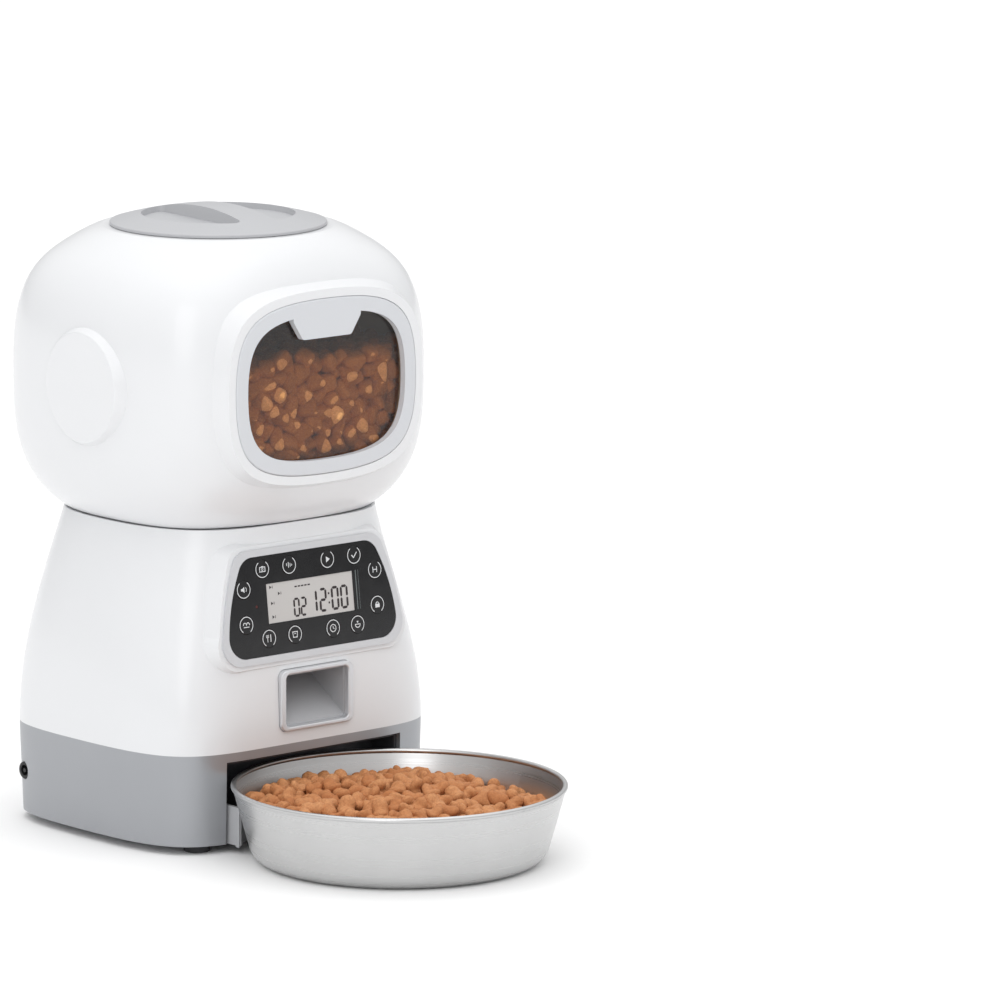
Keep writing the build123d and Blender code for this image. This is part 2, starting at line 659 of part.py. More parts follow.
with BuildPart() as battery_cradle:
    block(-53, 53, -7, 59, PLATE_TOP + 0.1, 24)
    for x in CELL_XS:
        with BuildSketch(facing(58.2, x, CELL_Z)):
            Circle(CELL_R + 0.4)
        extrude(amount=CELL_L + 3.2, mode=Mode.SUBTRACT)
        block(x - 14, x + 14, -6, 58, 0, 14, mode=Mode.SUBTRACT)
save(battery_cradle, "battery_cradle")

with BuildPart() as battery_contacts:
    for x in CELL_XS:
        block(x - 6, x + 6, 57.45, 57.95, 18, 32)
        block(x - 6, x + 6, -3.75, -3.05, 18, 32)
save(battery_contacts, "battery_contacts")

with BuildPart() as main_board:
    block(-64.4, -62.8, 8, 58, 10, 44)
    for y, z, depth, tall in ((16, 34, 9, 8), (30, 20, 12, 12), (44, 35, 7, 7)):
        block(-69.4, -64.4, y - depth / 2, y + depth / 2, z - tall / 2, z + tall / 2)
save(main_board, "main_board")

with BuildPart() as dc_jack:
    block(-76.0, -66.4, JACK_Y - 5.5, JACK_Y + 5.5, JACK_Z - 5.5, JACK_Z + 5.5)
    with BuildSketch(side(-JACK_X, JACK_Y, JACK_Z)):
        Circle(4.3)
    extrude(amount=JACK_X - 75)
    with BuildSketch(side(-JACK_X - 1, JACK_Y, JACK_Z)):
        Circle(2.75)
        Circle(1.05, mode=Mode.SUBTRACT)
    extrude(amount=11, mode=Mode.SUBTRACT)
save(dc_jack, "dc_jack")

with BuildPart() as rubber_feet:
    for x, y in FEET:
        post(x, y, 0.0, BASE_Z - 0.02, 6.5)
    fillet(rubber_feet.faces().group_by(Axis.Z)[0].edges(), 0.8)
    for x, y in FEET:
        post(x, y, -1, 2.0, 2.8, mode=Mode.SUBTRACT)
        post(x, y, 1, 6.0, 1.7, mode=Mode.SUBTRACT)
save(rubber_feet, "rubber_feet")

with BuildPart() as housing_screws:
    for x, y in FEET:
        post(x, y, 0.7, 1.95, 2.6)
        post(x, y, 1.9, 20.0, 1.5)
save(housing_screws, "housing_screws")

# ---- drive ---------------------------------------------------------------------------------------
with BuildPart() as gearbox_lower:
    block(BOX_X0, BOX_X1, BOX_Y0, BOX_Y1, BOX_Z0, BOX_SPLIT - 0.02)
    block(BOX_X0 + 2, BOX_X1 - 2, BOX_Y0 + 1.6, BOX_Y1 - 1.6, BOX_Z0 + 2.2, BOX_SPLIT + 1,
          mode=Mode.SUBTRACT)
    for x, y in (AXIS_A, AXIS_B):
        post(x, y, BOX_Z0 + 1, BOX_Z0 + 3.4, 3.4)
        post(x, y, BOX_Z0 + 1, BOX_Z1 - 3.4, PIN_R)
    post(*AXIS_OUT, BOX_Z0 + 1, GEAR_Z1 - 0.6, 4.0)
    post(*AXIS_OUT, BOX_Z0 + 4, GEAR_Z1 + 1, 3.06, mode=Mode.SUBTRACT)
    post(*AXIS_M, BOX_Z0 - 1, BOX_Z0 + 5, 4.2, mode=Mode.SUBTRACT)
save(gearbox_lower, "gearbox_lower")

with BuildPart() as gearbox_upper:
    block(BOX_X0, BOX_X1, BOX_Y0, BOX_Y1, BOX_SPLIT, BOX_Z1)
    block(BOX_X0 + 2, BOX_X1 - 2, BOX_Y0 + 1.6, BOX_Y1 - 1.6, BOX_SPLIT - 1, BOX_Z1 - 2.2,
          mode=Mode.SUBTRACT)
    for x, y in (AXIS_A, AXIS_B):
        post(x, y, BOX_Z1 - 7, BOX_Z1 - 2, 3.4)
        post(x, y, BOX_Z1 - 8, BOX_Z1 - 3.2, PIN_R + 0.1, mode=Mode.SUBTRACT)
    post(*AXIS_OUT, BOX_Z1 - 4, BOX_Z1 + 1, 3.06, mode=Mode.SUBTRACT)
save(gearbox_upper, "gearbox_upper")

AIM_A = 60.0                    # direction from the output axis to the first compound gear
with BuildPart() as output_gear:
    with BuildSketch(level(GEAR_Z1, *AXIS_OUT)):
        gear_face(WHEEL_TEETH, AIM_A)
    extrude(amount=GEAR_T)
    post(*AXIS_OUT, BOX_Z0 + 4.4, 129.6, 3.0)
save(output_gear, "output_gear")

with BuildPart() as compound_gear_a:
    with BuildSketch(level(GEAR_Z1, *AXIS_A)):
        gear_face(SMALL_TEETH, AIM_A + 180 + 180 / SMALL_TEETH)
    extrude(amount=GEAR_T)
    with BuildSketch(level(GEAR_Z2, *AXIS_A)):
        gear_face(WHEEL_TEETH, 180)
    extrude(amount=GEAR_T)
    post(*AXIS_A, BOX_Z0 + 3.8, BOX_Z1 - 7.4, 3.0)
    post(*AXIS_A, BOX_Z0, BOX_Z1, PIN_R + 0.08, mode=Mode.SUBTRACT)
save(compound_gear_a, "compound_gear_a")

with BuildPart() as compound_gear_b:
    with BuildSketch(level(GEAR_Z2, *AXIS_B)):
        gear_face(SMALL_TEETH, 180 / SMALL_TEETH)
    extrude(amount=GEAR_T)
    with BuildSketch(level(GEAR_Z3, *AXIS_B)):
        gear_face(WHEEL_TEETH, 180)
    extrude(amount=GEAR_T)
    post(*AXIS_B, BOX_Z0 + 3.8, BOX_Z1 - 7.4, 3.0)
    post(*AXIS_B, BOX_Z0, BOX_Z1, PIN_R + 0.08, mode=Mode.SUBTRACT)
save(compound_gear_b, "compound_gear_b")

with BuildPart() as motor_pinion:
    with BuildSketch(level(GEAR_Z3 - 0.4, *AXIS_M)):
        gear_face(PINION_TEETH, 180 / PINION_TEETH)
    extrude(amount=GEAR_T + 1)
    post(*AXIS_M, BOX_Z0, BOX_Z1, 1.05, mode=Mode.SUBTRACT)
save(motor_pinion, "motor_pinion")

MOTOR_L = 30.0
with BuildPart() as motor:
    post(*AXIS_M, BOX_Z0 - 0.1 - MOTOR_L, BOX_Z0 - 0.1, 12.0)
    fillet(motor.edges(), 1.0)
    post(*AXIS_M, BOX_Z0 - 1, BOX_Z0 + 1.6, 3.4)
    post(*AXIS_M, BOX_Z0, GEAR_Z3 + GEAR_T, 1.0)
    post(*AXIS_M, BOX_Z0 - MOTOR_L - 3, BOX_Z0 - MOTOR_L, 4.5)
save(motor, "motor")

with BuildPart() as gearbox_screws:
    for x, y in ((BOX_X0 + 5, BOX_Y0 + 5), (BOX_X1 - 5, BOX_Y0 + 5), (BOX_X1 - 5, BOX_Y1 - 5)):
        post(x, y, BOX_Z1 + 0.02, BOX_Z1 + 1.6, 2.4)
save(gearbox_screws, "gearbox_screws")

# ---- bowl ----------------------------------------------------------------------------------------
BOWL_FLOOR_R = 72.0
with BuildPart() as bowl:
    with BuildSketch(Plane((0, BOWL_Y, 0), x_dir=(1, 0, 0), z_dir=(0, -1, 0))):
        with BuildLine():
            foot = Line((0, 0.52), (BOWL_FLOOR_R - 9, 0.52))
            turn = RadiusArc(foot @ 1, (BOWL_FLOOR_R + 1.6, 9.0), -10.2)
            Line(turn @ 1, (BOWL_R - 1.2, BOWL_H - 1.6))
            offset(amount=0.5, side=Side.BOTH)
        make_face()
        with Locations((BOWL_R - 1.3, BOWL_H - 1.3)):
            Circle(1.3)
    revolve(axis=Axis((0, BOWL_Y, 0), (0, 0, 1)))
save(bowl, "bowl")

GUARD_R = 79.2                  # the locator hugs the rear of the bowl
with BuildPart() as bowl_locator:
    with BuildSketch(Plane((0, BOWL_Y, 3.6))):
        Circle(GUARD_R + 2)
        Circle(GUARD_R, mode=Mode.SUBTRACT)
        with Locations((0, -60)):
            Rectangle(260, 230, mode=Mode.SUBTRACT)
        with Locations((-104, 60), (104, 60)):
            Rectangle(100, 120, mode=Mode.SUBTRACT)
    extrude(amount=20)
    for hand in (-1, 1):
        block(min(hand * 52, hand * 54), max(hand * 52, hand * 54), -80, BAY_BACK - 1.9, 4.4, 23.6)
save(bowl_locator, "bowl_locator")
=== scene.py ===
"""Studio scene of an automatic pet feeder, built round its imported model.

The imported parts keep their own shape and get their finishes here. The food in the tank and in the
bowl, the printed marks on the keys and the display's figures are made here. Sizes are millimetres
where a name says so, and everything handed to Blender is in metres.
"""
import json
import math

import bmesh
import bpy
import numpy as np
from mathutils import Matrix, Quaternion, Vector


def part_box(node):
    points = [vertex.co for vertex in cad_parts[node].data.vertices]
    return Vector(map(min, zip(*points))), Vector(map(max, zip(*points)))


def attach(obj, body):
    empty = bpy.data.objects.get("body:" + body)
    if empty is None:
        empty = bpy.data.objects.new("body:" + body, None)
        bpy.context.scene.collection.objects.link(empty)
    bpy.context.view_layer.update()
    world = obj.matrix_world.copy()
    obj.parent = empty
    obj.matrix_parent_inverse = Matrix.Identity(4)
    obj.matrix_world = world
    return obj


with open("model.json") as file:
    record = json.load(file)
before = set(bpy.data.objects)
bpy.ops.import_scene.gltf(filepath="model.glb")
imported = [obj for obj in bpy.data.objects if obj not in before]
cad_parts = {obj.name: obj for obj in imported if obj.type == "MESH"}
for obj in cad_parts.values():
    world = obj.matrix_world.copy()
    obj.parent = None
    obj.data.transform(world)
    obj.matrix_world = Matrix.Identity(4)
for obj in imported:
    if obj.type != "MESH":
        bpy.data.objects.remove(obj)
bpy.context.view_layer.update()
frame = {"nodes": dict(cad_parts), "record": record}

MM = 0.001
WHOLE_TURN = 2 * math.pi


def middle(node):
    """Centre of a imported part's box."""
    low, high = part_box(node)
    return (low + high) / 2


# ---- camera, floor and lights ----------------------------------------------------------------------
HOUSE_Y = middle("fill_collar").y          # the housing's upright axis
AIM = Vector((0, HOUSE_Y, 0))
CAMERA_AZIMUTH, CAMERA_ELEVATION = math.radians(-41.36), math.radians(10.162)
CAMERA_BACK = Vector((
    math.sin(CAMERA_AZIMUTH) * math.cos(CAMERA_ELEVATION),
    -math.cos(CAMERA_AZIMUTH) * math.cos(CAMERA_ELEVATION),
    math.sin(CAMERA_ELEVATION),
))
CAMERA_RIGHT = Vector((math.cos(CAMERA_AZIMUTH), math.sin(CAMERA_AZIMUTH), 0))
CAMERA_UP = CAMERA_BACK.cross(CAMERA_RIGHT)
CAMERA_DISTANCE = 3.9883
CAMERA_ASIDE, CAMERA_LIFT = 0.1406, 0.1577     # moves the feeder off the middle of the picture
CAMERA_ROLL = math.radians(0.2)

lens = bpy.data.cameras.new("studio_camera")
lens.lens, lens.sensor_width = 285.0, 36.0
lens.clip_start, lens.clip_end = 0.1, 60.0
camera = bpy.data.objects.new("studio_camera", lens)
bpy.context.scene.collection.objects.link(camera)
camera.location = (AIM + CAMERA_RIGHT * CAMERA_ASIDE + CAMERA_UP * CAMERA_LIFT
                   + CAMERA_BACK * CAMERA_DISTANCE)
camera.rotation_mode = "QUATERNION"
level = (-CAMERA_BACK).to_track_quat("-Z", "Y")
camera.rotation_quaternion = level @ Quaternion((0, 0, 1), CAMERA_ROLL)
bpy.context.scene.camera = camera
bpy.context.scene.view_settings.view_transform = "Standard"


# ---- small helpers ---------------------------------------------------------------------------------
def rgb(code):
    """A colour as sRGB hex, turned to linear."""
    parts = [int(code[place:place + 2], 16) / 255 for place in (1, 3, 5)]
    return (*[p / 12.92 if p <= 0.04045 else ((p + 0.055) / 1.055) ** 2.4 for p in parts], 1.0)


def per_mm(size_mm):
    """Scale of a pattern whose features are size_mm across."""
    return 1 / (size_mm * MM)


def put(tree, kind, settings=None, sockets=None):
    """Adds a node, with its settings and with a value or a link for each named socket."""
    made = tree.nodes.new("ShaderNode" + kind)
    for name, value in (settings or {}).items():
        setattr(made, name, value)
    for name, value in (sockets or {}).items():
        if isinstance(value, bpy.types.NodeSocket):
            tree.links.new(value, made.inputs[name])
        else:
            made.inputs[name].default_value = value
    return made


def fresh(name):
    """A new empty material's node tree and its output."""
    made = bpy.data.materials.new(name)
    made.use_nodes = True
    made.node_tree.nodes.clear()
    return made, made.node_tree, put(made.node_tree, "OutputMaterial")


def moulded(name, pale, deep, rough, patch_mm=22.0, grain_mm=1.2, grain_depth_mm=0.010,
            spread=0.05, **shader):
    """Plastic, rubber or paint: two near colours in soft patches over a fine moulded grain."""
    made, tree, out = fresh(name)
    place = put(tree, "TexCoord").outputs["Object"]
    patch = put(tree, "TexNoise", {}, {"Vector": place, "Scale": per_mm(patch_mm), "Detail": 3.0})
    grain = put(tree, "TexNoise", {}, {"Vector": place, "Scale": per_mm(grain_mm), "Detail": 2.0})
    tint = put(tree, "Mix", {"data_type": "RGBA"},
               {0: patch.outputs["Fac"], 6: rgb(pale), 7: rgb(deep)})
    gloss = put(tree, "MapRange", {}, {"Value": grain.outputs["Fac"], "From Min": 0.3,
                                       "From Max": 0.7, "To Min": rough - spread,
                                       "To Max": rough + spread})
    relief = put(tree, "Bump", {}, {"Height": grain.outputs["Fac"], "Strength": 0.6,
                                    "Distance": grain_depth_mm * MM})
    skin = put(tree, "BsdfPrincipled", {}, {
        "Base Color": tint.outputs[2], "Roughness": gloss.outputs["Result"],
        "Normal": relief.outputs["Normal"], **shader})
    tree.links.new(skin.outputs["BSDF"], out.inputs["Surface"])
    return made


# ---- finishes --------------------------------------------------------------------------------------
def metal(name, pale, deep, rough, line_mm, centre=None, line_depth_mm=0.006):
    """Metal with fine tool lines: rings round an upright axis, or straight lines along X."""
    made, tree, out = fresh(name)
    place = put(tree, "TexCoord").outputs["Object"]
    apart = put(tree, "SeparateXYZ", {}, {0: place})
    if centre is not None:
        flat = put(tree, "CombineXYZ", {}, {"X": apart.outputs["X"], "Y": apart.outputs["Y"]})
        from_axis = put(tree, "VectorMath", {"operation": "DISTANCE"},
                        {0: flat.outputs["Vector"], 1: (centre.x, centre.y, 0)})
        across = put(tree, "CombineXYZ", {}, {"X": from_axis.outputs["Value"],
                                              "Z": apart.outputs["Z"]})
    else:
        across = put(tree, "CombineXYZ", {}, {"Y": apart.outputs["Y"], "Z": apart.outputs["Z"]})
    lines = put(tree, "TexNoise", {}, {"Vector": across.outputs["Vector"],
                                       "Scale": per_mm(line_mm), "Detail": 4.0})
    cloud = put(tree, "TexNoise", {}, {"Vector": place, "Scale": per_mm(26), "Detail": 3.0})
    tint = put(tree, "Mix", {"data_type": "RGBA"},
               {0: cloud.outputs["Fac"], 6: rgb(pale), 7: rgb(deep)})
    gloss = put(tree, "MapRange", {}, {"Value": lines.outputs["Fac"], "From Min": 0.3,
                                       "From Max": 0.7, "To Min": rough - 0.06,
                                       "To Max": rough + 0.08})
    relief = put(tree, "Bump", {}, {"Height": lines.outputs["Fac"], "Strength": 0.5,
                                    "Distance": line_depth_mm * MM})
    skin = put(tree, "BsdfPrincipled", {}, {
        "Base Color": tint.outputs[2], "Metallic": 1.0, "Roughness": gloss.outputs["Result"],
        "Normal": relief.outputs["Normal"]})
    tree.links.new(skin.outputs["BSDF"], out.inputs["Surface"])
    return made


def smoked_acrylic():
    """Clear smoke acrylic: thin, so it tints what is behind it and mirrors the room a little.

    Only the face turned to the eye mirrors. Seen from inside, the far face would mirror fully.
    """
    made, tree, out = fresh("smoked_acrylic")
    place = put(tree, "TexCoord").outputs["Object"]
    cloud = put(tree, "TexNoise", {}, {"Vector": place, "Scale": per_mm(40), "Detail": 2.0})
    tint = put(tree, "Mix", {"data_type": "RGBA"},
               {0: cloud.outputs["Fac"], 6: rgb("#E3D8CB"), 7: rgb("#DDD2C5")})
    clear = put(tree, "BsdfTransparent", {}, {"Color": tint.outputs[2]})
    wave = put(tree, "TexNoise", {}, {"Vector": place, "Scale": per_mm(14), "Detail": 1.0})
    relief = put(tree, "Bump", {}, {"Height": wave.outputs["Fac"], "Strength": 0.2,
                                    "Distance": 0.01 * MM})
    mirror = put(tree, "BsdfGlossy", {}, {"Color": rgb("#FFFFFF"), "Roughness": 0.03,
                                          "Normal": relief.outputs["Normal"]})
    share = put(tree, "Fresnel", {}, {"IOR": 1.49})
    inward = put(tree, "NewGeometry").outputs["Backfacing"]
    outward = put(tree, "Math", {"operation": "SUBTRACT"}, {0: 1.0, 1: inward})
    entry = put(tree, "Math", {"operation": "MULTIPLY"}, {0: share.outputs["Fac"],
                                                          1: outward.outputs["Value"]})
    both = put(tree, "MixShader", {}, {0: entry.outputs["Value"], 1: clear.outputs["BSDF"],
                                       2: mirror.outputs["BSDF"]})
    tree.links.new(both.outputs["Shader"], out.inputs["Surface"])
    return made


def baked_kibble(name, pale, mid, deep):
    """Extruded and oven-dried pet food: matt and crumbly, each piece baked a little differently."""
    made, tree, out = fresh(name)
    place = put(tree, "TexCoord").outputs["Object"]
    bake = put(tree, "Attribute", {"attribute_name": "bake"})
    crumb = put(tree, "TexNoise", {}, {"Vector": place, "Scale": per_mm(1.1), "Detail": 4.0,
                                       "Roughness": 0.65})
    pores = put(tree, "TexVoronoi", {}, {"Vector": place, "Scale": per_mm(0.9)})
    browned = put(tree, "Mix", {"data_type": "RGBA"},
                  {0: bake.outputs["Fac"], 6: rgb(pale), 7: rgb(mid)})
    worn = put(tree, "MapRange", {}, {"Value": crumb.outputs["Fac"], "From Min": 0.35,
                                      "From Max": 0.75, "To Min": 0.0, "To Max": 0.75})
    tint = put(tree, "Mix", {"data_type": "RGBA"},
               {0: worn.outputs["Result"], 6: browned.outputs[2], 7: rgb(deep)})
    height = put(tree, "Math", {"operation": "ADD"},
                 {0: crumb.outputs["Fac"], 1: pores.outputs["Distance"]})
    relief = put(tree, "Bump", {}, {"Height": height.outputs["Value"], "Strength": 0.7,
                                    "Distance": 0.22 * MM})
    skin = put(tree, "BsdfPrincipled", {}, {
        "Base Color": tint.outputs[2], "Roughness": 0.72, "IOR": 1.45,
        "Normal": relief.outputs["Normal"]})
    tree.links.new(skin.outputs["BSDF"], out.inputs["Surface"])
    return made


BOWL = middle("bowl")
FINISHES = {
    # moulded ABS, polished tool: soft broad highlights over a faint orange peel
    "white_shell": moulded("moulded_gloss_white_abs", "#E2E3E5", "#DFE0E2", 0.30, 60, 1.6, 0.0008, 0.015,
                           **{"IOR": 1.54, "Coat Weight": 0.3, "Coat Roughness": 0.12}),
    # silver paint on ABS: a soft sheen over a faint flake grain, drawn coarser than real
    "silver_base": moulded("silver_painted_abs", "#A5A7AB", "#A1A3A7", 0.38, 35, 0.5, 0.0010, 0.02,
                           **{"Metallic": 0.55}),
    # moulded ABS, satin tool: even and slightly cool
    "window_frame": moulded("satin_moulded_abs", "#D0D2D6", "#CDCFD3", 0.38, 40, 1.0, 0.001, 0.02,
                            **{"IOR": 1.54}),
    "smoke_pane": smoked_acrylic(),
    # grey ABS with a spark-eroded texture: no sharp reflections
    "lid_grey": moulded("satin_grey_abs", "#B6B7BA", "#B1B2B5", 0.42, 30, 0.9, 0.002, 0.02,
                        **{"IOR": 1.54}),
    # cast acrylic painted black behind: deep and mirror smooth
    "panel_black": moulded("black_backed_acrylic", "#19191B", "#161618", 0.07, 30, 9.0, 0.003,
                           0.02, **{"IOR": 1.49}),
    # silver paint on ABS, polished edge
    "panel_trim": moulded("silver_painted_trim", "#D6D7DA", "#D2D3D6", 0.30, 30, 0.5, 0.0006, 0.015,
                          **{"Metallic": 0.45}),
    # display glass over its grey reflector
    "lcd": moulded("display_glass", "#C6C4C2", "#C1BFBD", 0.16, 18, 0.6, 0.001, 0.03,
                   **{"IOR": 1.52}),
    # black acrylic key tops: a slightly softer mirror than the panel round them
    "key_cap": moulded("black_key_acrylic", "#19191B", "#161618", 0.09, 30, 9.0, 0.003, 0.02,
                       **{"IOR": 1.49}),
    # spun stainless steel: fine rings from the spinning tool, drawn coarser than real
    "bowl_steel": metal("spun_stainless_steel", "#CECECE", "#C6C6C6", 0.30, 0.7, BOWL, 0.0016),
    # unpainted ABS in three tones: matt, so the bay, the chute and the inside stay quiet
    "bay_dark": moulded("charcoal_abs", "#3A3B3F", "#36373B", 0.5, 25, 0.9, 0.003),
    "grey_abs": moulded("light_grey_abs", "#B6B7BA", "#B0B1B4", 0.46, 25, 0.9, 0.002),
    "inner_abs": moulded("natural_abs", "#DCDBD6", "#D7D6D1", 0.5, 25, 1.0, 0.002),
    # soft parts: no clear highlight at all
    "rubber": moulded("moulded_rubber", "#3B3B3D", "#303032", 0.75, 12, 0.6, 0.03),
    "silicone": moulded("soft_silicone", "#DAD9D4", "#D0CFCA", 0.55, 12, 0.8, 0.01),
    # green solder mask: a low even gloss
    "board": moulded("solder_mask", "#1C5B36", "#174C2D", 0.35, 9, 1.2, 0.02),
    # plated steel and turned brass: bright, with fine drawn or turned lines
    "steel": metal("zinc_plated_steel", "#B9BABC", "#A6A7AA", 0.34, 0.4),
    # acetal gears: waxy off-white
    "gear_pom": moulded("natural_acetal", "#E6E3D8", "#DCD9CD", 0.42, 10, 0.7, 0.008),
    "brass": metal("turned_brass", "#CDA75B", "#B8924A", 0.3, 0.35, middle("motor_pinion")),
    # printed sleeve of a dry cell: coppery and half glossy
    "cell": moulded("printed_cell_sleeve", "#A8742E", "#8F6126", 0.3, 20, 0.7, 0.004,
                    **{"Metallic": 0.5}),
    # nylon: dull black
    "black_part": moulded("black_nylon", "#232325", "#1B1B1D", 0.5, 15, 0.8, 0.015),
    # nonwoven cloth: a coarse fibrous relief
    "nonwoven": moulded("nonwoven_sachet", "#EDECE8", "#DAD8D2", 0.85, 2.5, 0.45, 0.12),
    # unlit red lens: a dark glossy dot
    "led_lens": moulded("red_tinted_lens", "#4A1612", "#40120E", 0.2, 5, 1.0, 0.003),
}
# printed ink is matt; the display's figures are smooth, and so are the grey lines at its glass edge, a
# painted glint where that edge catches light
INK_WHITE = moulded("screen_printed_white_ink", "#E4E6E8", "#CFD2D5", 0.5, 2.5, 0.4, 0.004)
INK_DARK = moulded("display_segment", "#2A2022", "#231A1C", 0.3, 4, 0.5, 0.002)
# mid grey for the display glass's edge: a painted glint, lighter than the black panel because the edge
# catches light
GLINT_LINE_GREY = moulded("display_edge_painted_glint", "#7B8484", "#666E6E", 0.15, 4, 0.5, 0.002)
# the floor is matt and pale, so it runs into the background
FLOOR_WHITE = moulded("matt_studio_floor", "#FAFAFA", "#F8F8F8", 0.8, 300, 8.0, 0.02)
TANK_KIBBLE = baked_kibble("tank_kibble", "#E6AC72", "#D59A60", "#A0683C")
BOWL_KIBBLE = baked_kibble("bowl_kibble", "#D79A68", "#BE7C4B", "#9F6138")

for part in frame["record"]["subparts"]:
    node = frame["nodes"][part["node"]]
    node.data.materials.clear()
    node.data.materials.append(FINISHES[part["material_slot"]])


# ---- floor and lights ------------------------------------------------------------------------------
def shown(name, points, faces, material):
    """A mesh object from points in metres."""
    mesh = bpy.data.meshes.new(name)
    mesh.from_pydata(points, [], faces)
    mesh.materials.append(material)
    made = bpy.data.objects.new(name, mesh)
    bpy.context.scene.collection.objects.link(made)
    return made


FLOOR_HALF = 14.0
floor = shown("studio_floor", [(x * FLOOR_HALF, y * FLOOR_HALF, 0) for x, y in
                               ((-1, -1), (1, -1), (1, 1), (-1, 1))], [(0, 1, 2, 3)], FLOOR_WHITE)


def softbox(name, azimuth, elevation, distance, width, height, watts, aim=(0, 0, 0.15)):
    """An area light on a stand, turned to face a point of the feeder."""
    light = bpy.data.lights.new(name, "AREA")
    light.shape, light.size, light.size_y, light.energy = "RECTANGLE", width, height, watts
    made = bpy.data.objects.new(name, light)
    bpy.context.scene.collection.objects.link(made)
    turn, rise = math.radians(azimuth), math.radians(elevation)
    out = Vector((math.sin(turn) * math.cos(rise), -math.cos(turn) * math.cos(rise),
                  math.sin(rise)))
    made.location = Vector(aim) + out * distance
    made.rotation_mode = "QUATERNION"
    made.rotation_quaternion = (-out).to_track_quat("-Z", "Y")
    return made


TENT_SIDES, TENT_TOP = 0.38, 1.56
world = bpy.data.worlds.new("studio")
bpy.context.scene.world = world
world.use_nodes = True
# a light tent: dim round the sides, bright overhead
tent = world.node_tree
sky = put(tent, "SeparateXYZ", {}, {0: put(tent, "TexCoord").outputs["Generated"]})
glow = put(tent, "MapRange", {}, {"Value": sky.outputs["Z"], "From Min": 0.0, "From Max": 1.0,
                                  "To Min": TENT_SIDES, "To Max": TENT_TOP})
tent.nodes["Background"].inputs["Color"].default_value = rgb("#FFFFFF")
tent.links.new(glow.outputs["Result"], tent.nodes["Background"].inputs["Strength"])
# degrees round and up, then metres away, wide and high, then watts
softbox("corner_light", -52, 24, 1.9, 0.7, 1.5, 5.0)
softbox("top_light", -20, 78, 1.9, 1.6, 1.6, 2.5)

# ---- food ------------------------------------------------------------------------------------------
SEED = 41
SETTLE_STEP = 0.35              # share of each overlap that one round takes out


def ball(detail):
    """Directions and triangles of an even ball, the start of every food piece."""
    form = bmesh.new()
    bmesh.ops.create_icosphere(form, subdivisions=detail, radius=1.0)
    points = np.array([v.co for v in form.verts])
    faces = np.array([[v.index for v in f.verts] for f in form.faces])
    form.free()
    return points, faces


def tablet(way, dice):
    """Radius along each direction of a rounded three or four sided tablet."""
    edges, first, power = int(dice.integers(3, 5)), dice.uniform(0, WHOLE_TURN), 4.5
    total = (np.abs(way[:, 2]) / dice.uniform(0.62, 0.8)) ** power
    for edge in range(edges):
        angle = first + WHOLE_TURN * (edge + dice.uniform(-0.12, 0.12)) / edges
        faced = np.clip(way[:, 0] * math.cos(angle) + way[:, 1] * math.sin(angle), 0, None)
        total += (faced / dice.uniform(0.78, 0.98)) ** power
    return np.minimum(total ** (-1 / power), 1.32)


def cross(way, dice):
    """Radius along each direction of a puffed cross or clover with rounded arms."""
    arms, first = int(dice.integers(3, 5)), dice.uniform(0, WHOLE_TURN)
    level = np.sqrt(np.clip(1 - way[:, 2] ** 2, 0, 1))
    angle = np.arctan2(way[:, 1], way[:, 0])
    arm = np.cos(arms * angle + first)
    lump = 0.06 * np.sin(3.1 * way[:, 0] + first) * np.cos(4.3 * way[:, 1] - first)
    return (0.86 + 0.27 * arm * level ** 2) * (1 - 0.24 * way[:, 2] ** 2) + lump


def random_turn(dice):
    """A random rotation matrix."""
    q = dice.normal(size=4)
    w, x, y, z = q / np.linalg.norm(q)
    return np.array([
        [1 - 2 * (y * y + z * z), 2 * (x * y - z * w), 2 * (x * z + y * w)],
        [2 * (x * y + z * w), 1 - 2 * (x * x + z * z), 2 * (y * z - x * w)],
        [2 * (x * z - y * w), 2 * (y * z + x * w), 1 - 2 * (x * x + y * y)],
    ])


def settle(spots, apart, keep_in, rounds):
    """Pushes crowded food pieces apart until they only touch, always inside the walls."""
    for _ in range(rounds):
        gaps = spots[:, None, :] - spots[None, :, :]
        reach = np.sqrt((gaps ** 2).sum(2)) + 1e-6
        push = np.clip(apart - reach, 0, None)
        np.fill_diagonal(push, 0)
        spots = spots + SETTLE_STEP * (gaps * (push / reach)[:, :, None]).sum(1)
        spots = keep_in(spots)
    return spots


def pour(name, spots, size, form, detail, material, body, dice):
    """One mesh of many food pieces, one at each spot (millimetres)."""
    way, faces = ball(detail)
    points, triangles, bake = [], [], []
    for number, spot in enumerate(spots):
        radius = form(way, dice)[:, None] * size * dice.uniform(0.86, 1.12)
        points.append((way * radius) @ random_turn(dice).T + spot)
        triangles.append(faces + number * len(way))
        bake.append(np.full(len(way), dice.uniform(0, 1)))
    made = shown(name, (np.concatenate(points) * MM).tolist(),
                 np.concatenate(triangles).tolist(), material)
    shade = made.data.attributes.new("bake", "FLOAT", "POINT")
    shade.data.foreach_set("value", np.concatenate(bake).astype(np.float32))
    made.data.shade_smooth()
    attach(made, body)
    return made


# the tank: only the food that can be seen, against the pane and over the whole top
AXIS = np.array([0.0, HOUSE_Y / MM, 0.0])
pane_low, pane_high = (np.array(corner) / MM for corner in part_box("window_pane"))
head_low, head_high = (np.array(corner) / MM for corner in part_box("head_rear_shell"))
PANE_BACK = pane_high[1]
PANE_MID = (pane_low + pane_high) / 2
HEAD_HALF = np.array([(head_high[0] - head_low[0]) / 2, head_high[1] - AXIS[1]])
HEAD_MID_Z, HEAD_HALF_TALL = 226.0, 77.4        # the head's rounded form, as it is built
SHELL_T = 4.0
FOOD_R = 4.7
FILL_Z = 240.0
SEEN_HALF_X, SEEN_HALF_Z = 50, 36       # the window's opening, less its rounded corners
FLOOR_OF_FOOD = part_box("hopper_funnel")[1].z / MM - 4


